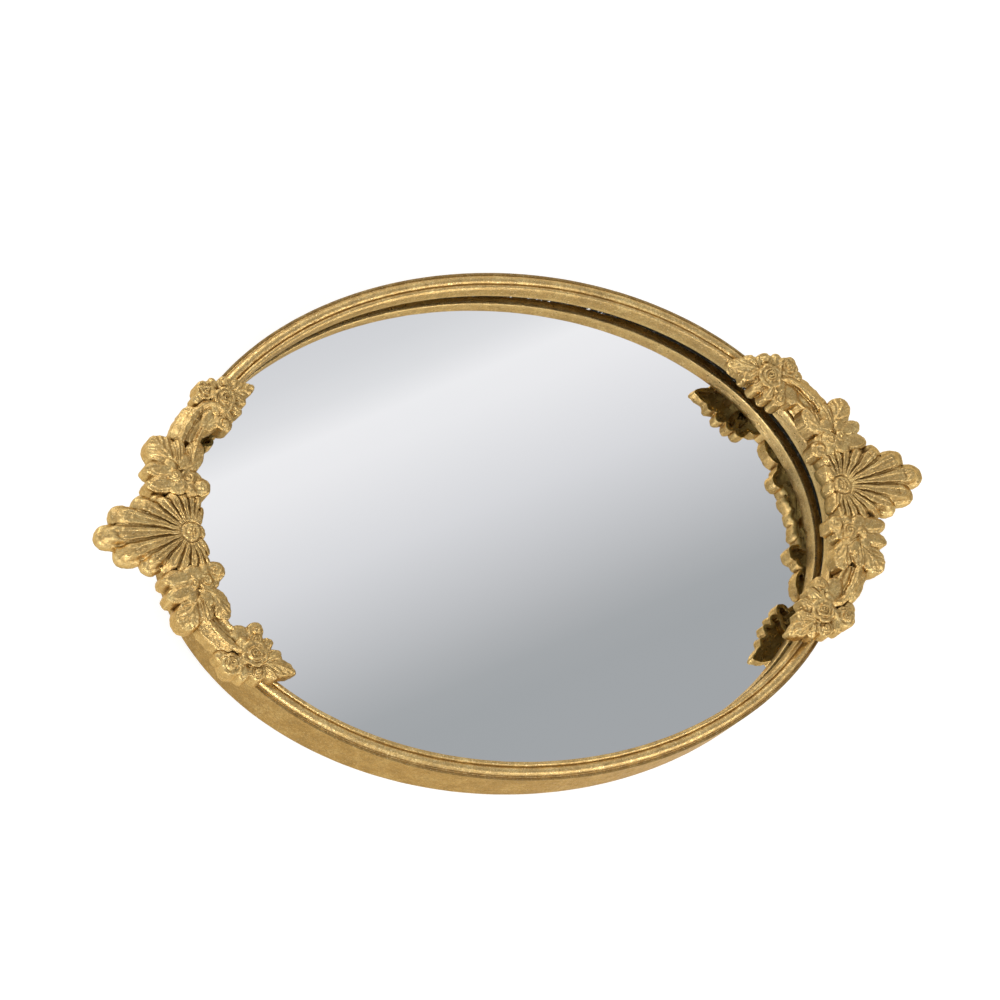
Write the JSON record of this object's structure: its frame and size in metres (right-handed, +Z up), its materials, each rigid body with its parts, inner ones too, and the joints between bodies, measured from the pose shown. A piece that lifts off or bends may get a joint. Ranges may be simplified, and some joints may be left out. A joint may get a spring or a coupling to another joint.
{
  "type": "vanity tray",
  "caption": "Oval mirrored dresser tray with a moulded gilt rim and a pierced floral and shell handle raised over the rim at each end.",
  "frame": {"origin": "on the table under the middle of the oval", "axes": "+X along the oval's long axis to one handle, +Z up"},
  "size_m": [0.441, 0.26, 0.045],
  "materials": {
    "gilt_rim": "aged gold leaf, satin, worn to brown in the grooves",
    "gilt_casting": "aged gold leaf on a rough casting, bright on the high points",
    "mirror": "silvered glass",
    "sealant": "dark adhesive bead",
    "board": "raw fibreboard",
    "felt": "black felt",
    "pad": "matt rubber",
    "rivet": "plain brass",
    "clip": "zinc plated"
  },
  "bodies": {
    "root": {"backing_board": "board", "base_felt": "felt", "foot_pad_1": "pad", "foot_pad_2": "pad", "foot_pad_3": "pad", "foot_pad_4": "pad", "left_flower_back": "gilt_casting", "left_flower_front": "gilt_casting", "left_leaf_spray_back": "gilt_casting", "left_leaf_spray_front": "gilt_casting", "left_post_back": "gilt_casting", "left_post_front": "gilt_casting", "left_post_middle": "gilt_casting", "left_rivet_back": "rivet", "left_rivet_front": "rivet", "left_rivet_middle": "rivet", "left_rose_cluster_back": "gilt_casting", "left_rose_cluster_front": "gilt_casting", "left_scroll_back": "gilt_casting", "left_scroll_front": "gilt_casting", "left_shell": "gilt_casting", "mirror_glass": "mirror", "mirror_sealant": "sealant", "retaining_clip_1": "clip", "retaining_clip_2": "clip", "retaining_clip_3": "clip", "retaining_clip_4": "clip", "retaining_clip_5": "clip", "retaining_clip_6": "clip", "retaining_clip_7": "clip", "retaining_clip_8": "clip", "right_flower_back": "gilt_casting", "right_flower_front": "gilt_casting", "right_leaf_spray_back": "gilt_casting", "right_leaf_spray_front": "gilt_casting", "right_post_back": "gilt_casting", "right_post_front": "gilt_casting", "right_post_middle": "gilt_casting", "right_rivet_back": "rivet", "right_rivet_front": "rivet", "right_rivet_middle": "rivet", "right_rose_cluster_back": "gilt_casting", "right_rose_cluster_front": "gilt_casting", "right_scroll_back": "gilt_casting", "right_scroll_front": "gilt_casting", "right_shell": "gilt_casting", "rim_band": "gilt_rim", "rim_moulding": "gilt_rim"}
  },
  "joints": []
}
